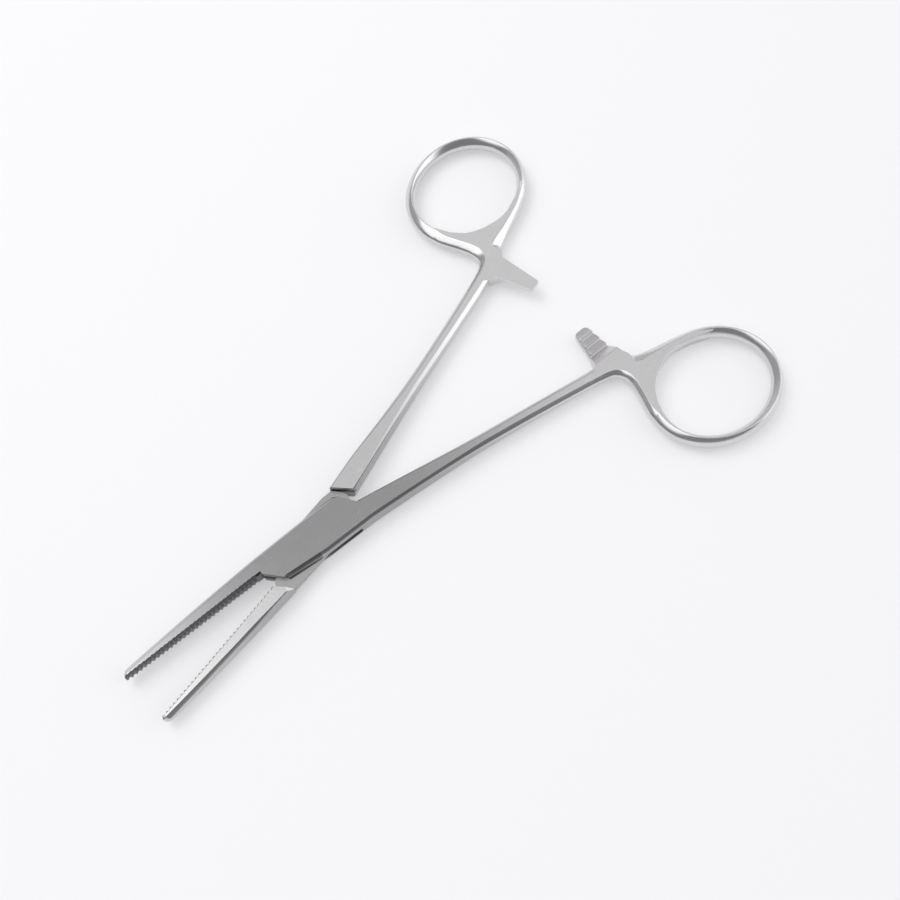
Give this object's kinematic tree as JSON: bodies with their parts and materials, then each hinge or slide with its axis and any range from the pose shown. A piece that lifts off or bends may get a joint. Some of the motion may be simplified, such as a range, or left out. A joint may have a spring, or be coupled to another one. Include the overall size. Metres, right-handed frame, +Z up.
{
  "type": "hemostat forceps",
  "caption": "Straight ring-handled locking forceps with a box lock, serrated jaws and a stepped ratchet.",
  "frame": {"origin": "on the pivot axis, at the underside of the box lock", "axes": "+X from the pivot towards the finger rings, midway between the two halves; +Z up along the pivot axis; +Y towards the male half's ring"},
  "size_m": [0.1363, 0.0956, 0.0046],
  "materials": {
    "satin_steel": "satin ground",
    "pin_steel": "satin ground, flush with the cheeks"
  },
  "bodies": {
    "female": {"female_half": "satin_steel", "pivot_pin": "pin_steel"},
    "male": {"male_half": "satin_steel"}
  },
  "joints": [
    {"name": "box_lock_pivot", "type": "hinge", "parent": "female", "child": "male", "pos_m": [0, 0, 0], "axis": [0, 0, 1], "range_deg": [-12.35, 22.65]}
  ]
}
